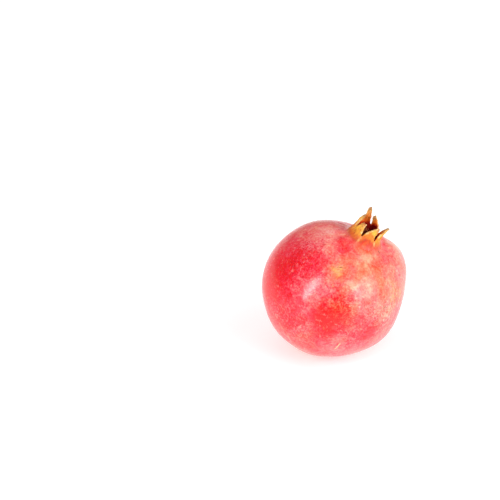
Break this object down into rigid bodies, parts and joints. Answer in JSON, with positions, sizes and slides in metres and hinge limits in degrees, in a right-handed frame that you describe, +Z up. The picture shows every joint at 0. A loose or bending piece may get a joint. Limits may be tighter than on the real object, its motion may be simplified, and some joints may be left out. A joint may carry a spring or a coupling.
{
  "type": "pomegranate",
  "caption": "Whole round pomegranate with a leathery rind, an open pointed crown, withered stamens and a cut stalk, lying on a small flat spot.",
  "frame": {"origin": "on the surface the fruit rests on, at the middle of the fruit's bounding box seen from above", "axes": "+Z up; the crown leans towards +X, and -Y faces the viewer of the picture"},
  "size_m": [0.0904, 0.088, 0.0959],
  "materials": {
    "rind": "leathery, softly glossy rind, mottled red and pink, with a dry golden crown",
    "stamens": "dry and matt, withered brown",
    "stem_stub": "matt brown bark with a pale cut end"
  },
  "bodies": {
    "root": {"rind": "rind", "stamens": "stamens", "stem_stub": "stem_stub"}
  },
  "joints": []
}
